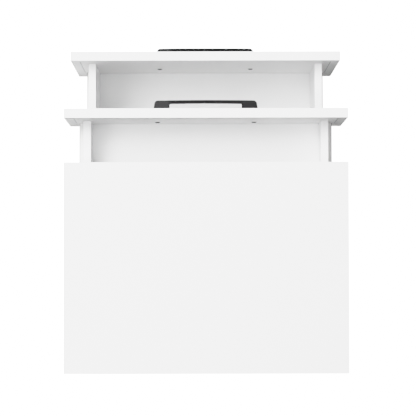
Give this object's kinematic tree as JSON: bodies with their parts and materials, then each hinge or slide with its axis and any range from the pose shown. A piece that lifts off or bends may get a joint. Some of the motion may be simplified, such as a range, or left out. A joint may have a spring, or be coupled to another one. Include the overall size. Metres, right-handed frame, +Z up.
{
  "type": "rolling pedestal cabinet",
  "caption": "White board pedestal cabinet on swivel casters with two drawers on roller slides and dark bow handles, both drawers standing part open.",
  "frame": {"origin": "on the floor, under the middle of the object's bounding box with the drawers in the rest pose (upper 71.5 mm and lower 184.5 mm open)", "axes": "+Z up, the drawers open towards -Y, +X is the right-hand side for someone standing in front of the drawers and facing +Y"},
  "size_m": [0.46, 0.5624, 0.56],
  "materials": {
    "white_board": "white melamine facing over chipboard, faint satin sheen",
    "white_sheet": "white painted hardboard sheet",
    "white_steel": "white epoxy powder coat",
    "handle_black": "charcoal black powder coat, satin",
    "zinc_steel": "zinc plated",
    "dark_steel": "black oxide",
    "die_cast_zinc": "die-cast zinc",
    "beech": "turned beech, unfinished",
    "white_plastic": "moulded polyethylene",
    "nylon": "natural nylon",
    "black_plastic": "glass filled nylon, fine moulded grain",
    "wheel_plastic": "hard nylon, scuffed tread",
    "lever_plastic": "moulded nylon"
  },
  "bodies": {
    "carcass": {"top_panel": "white_board", "left_side_panel": "white_board", "right_side_panel": "white_board", "bottom_panel": "white_board", "back_panel": "white_sheet", "cam_discs": "die_cast_zinc", "cam_bolts": "zinc_steel", "wood_dowels": "beech", "cam_caps": "white_plastic", "upper_left_cabinet_rail": "white_steel", "upper_right_cabinet_rail": "white_steel", "lower_left_cabinet_rail": "white_steel", "lower_right_cabinet_rail": "white_steel", "cabinet_rail_screws": "zinc_steel", "caster_plates": "zinc_steel", "caster_kingpins": "zinc_steel", "caster_screws": "zinc_steel"},
    "upper_drawer": {"upper_drawer_front": "white_board", "upper_handle": "handle_black", "upper_handle_screws": "dark_steel", "upper_left_drawer_side": "white_board", "upper_right_drawer_side": "white_board", "upper_drawer_back": "white_board", "upper_drawer_bottom": "white_sheet", "upper_left_drawer_rail": "white_steel", "upper_right_drawer_rail": "white_steel", "upper_front_cams": "die_cast_zinc", "upper_front_bolts": "zinc_steel", "upper_box_screws": "zinc_steel"},
    "lower_drawer": {"lower_drawer_front": "white_board", "lower_handle": "handle_black", "lower_handle_screws": "dark_steel", "lower_left_drawer_side": "white_board", "lower_right_drawer_side": "white_board", "lower_drawer_back": "white_board", "lower_drawer_bottom": "white_sheet", "lower_left_drawer_rail": "white_steel", "lower_right_drawer_rail": "white_steel", "lower_front_cams": "die_cast_zinc", "lower_front_bolts": "zinc_steel", "lower_box_screws": "zinc_steel"},
    "upper_front_rollers": {"upper_cabinet_rollers": "nylon"},
    "lower_front_rollers": {"lower_cabinet_rollers": "nylon"},
    "upper_rear_rollers": {"upper_drawer_rollers": "nylon"},
    "lower_rear_rollers": {"lower_drawer_rollers": "nylon"},
    "front_left_caster": {"front_left_caster_body": "black_plastic", "front_left_axle": "zinc_steel"},
    "front_left_wheel_pair": {"front_left_wheels": "wheel_plastic"},
    "front_left_brake": {"front_left_brake_lever": "lever_plastic"},
    "front_right_caster": {"front_right_caster_body": "black_plastic", "front_right_axle": "zinc_steel"},
    "front_right_wheel_pair": {"front_right_wheels": "wheel_plastic"},
    "front_right_brake": {"front_right_brake_lever": "lever_plastic"},
    "rear_left_caster": {"rear_left_caster_body": "black_plastic", "rear_left_axle": "zinc_steel"},
    "rear_left_wheel_pair": {"rear_left_wheels": "wheel_plastic"},
    "rear_right_caster": {"rear_right_caster_body": "black_plastic", "rear_right_axle": "zinc_steel"},
    "rear_right_wheel_pair": {"rear_right_wheels": "wheel_plastic"}
  },
  "joints": [
    {"name": "drawer_upper_slide", "type": "slide", "parent": "carcass", "child": "upper_drawer", "axis": [0, -1, 0], "range_m": [-0.0715, 0.1535]},
    {"name": "drawer_lower_slide", "type": "slide", "parent": "carcass", "child": "lower_drawer", "axis": [0, -1, 0], "range_m": [-0.1845, 0.0405]},
    {"name": "roller_upper_front_spin", "type": "hinge", "parent": "carcass", "child": "upper_front_rollers", "pos_m": [0, -0.04375, 0.42175], "axis": [1, 0, 0], "range_deg": [-436, 930]},
    {"name": "roller_upper_rear_spin", "type": "hinge", "parent": "upper_drawer", "child": "upper_rear_rollers", "pos_m": [0, 0.15375, 0.4161], "axis": [1, 0, 0], "range_deg": [-436, 930]},
    {"name": "roller_lower_front_spin", "type": "hinge", "parent": "carcass", "child": "lower_front_rollers", "pos_m": [0, -0.04375, 0.12275], "axis": [1, 0, 0], "range_deg": [-1117, 249]},
    {"name": "roller_lower_rear_spin", "type": "hinge", "parent": "lower_drawer", "child": "lower_rear_rollers", "pos_m": [0, 0.04075, 0.1171], "axis": [1, 0, 0], "range_deg": [-1117, 249]},
    {"name": "front_left_swivel", "type": "hinge", "parent": "carcass", "child": "front_left_caster", "pos_m": [-0.18, -0.02375, 0.05], "axis": [0, 0, 1], "continuous": true},
    {"name": "front_left_wheel_spin", "type": "hinge", "parent": "front_left_caster", "child": "front_left_wheel_pair", "pos_m": [-0.18, -0.03975, 0.02], "axis": [1, 0, 0], "continuous": true},
    {"name": "front_left_brake_press", "type": "hinge", "parent": "front_left_caster", "child": "front_left_brake", "pos_m": [-0.18, -0.05773, 0.03737], "axis": [1, 0, 0], "range_deg": [0, 20]},
    {"name": "front_right_swivel", "type": "hinge", "parent": "carcass", "child": "front_right_caster", "pos_m": [0.18, -0.02375, 0.05], "axis": [0, 0, 1], "continuous": true},
    {"name": "front_right_wheel_spin", "type": "hinge", "parent": "front_right_caster", "child": "front_right_wheel_pair", "pos_m": [0.18, -0.03975, 0.02], "axis": [1, 0, 0], "continuous": true},
    {"name": "front_right_brake_press", "type": "hinge", "parent": "front_right_caster", "child": "front_right_brake", "pos_m": [0.18, -0.05773, 0.03737], "axis": [1, 0, 0], "range_deg": [0, 20]},
    {"name": "rear_left_swivel", "type": "hinge", "parent": "carcass", "child": "rear_left_caster", "pos_m": [-0.18, 0.23325, 0.05], "axis": [0, 0, 1], "continuous": true},
    {"name": "rear_left_wheel_spin", "type": "hinge", "parent": "rear_left_caster", "child": "rear_left_wheel_pair", "pos_m": [-0.18, 0.24925, 0.02], "axis": [1, 0, 0], "continuous": true},
    {"name": "rear_right_swivel", "type": "hinge", "parent": "carcass", "child": "rear_right_caster", "pos_m": [0.18, 0.23325, 0.05], "axis": [0, 0, 1], "continuous": true},
    {"name": "rear_right_wheel_spin", "type": "hinge", "parent": "rear_right_caster", "child": "rear_right_wheel_pair", "pos_m": [0.18, 0.24925, 0.02], "axis": [1, 0, 0], "continuous": true}
  ],
  "couplings": [
    {"joint": "roller_upper_front_spin", "follows": "drawer_upper_slide", "rad_per_m": 105.26},
    {"joint": "roller_upper_rear_spin", "follows": "drawer_upper_slide", "rad_per_m": 105.26},
    {"joint": "roller_lower_front_spin", "follows": "drawer_lower_slide", "rad_per_m": 105.26},
    {"joint": "roller_lower_rear_spin", "follows": "drawer_lower_slide", "rad_per_m": 105.26}
  ]
}
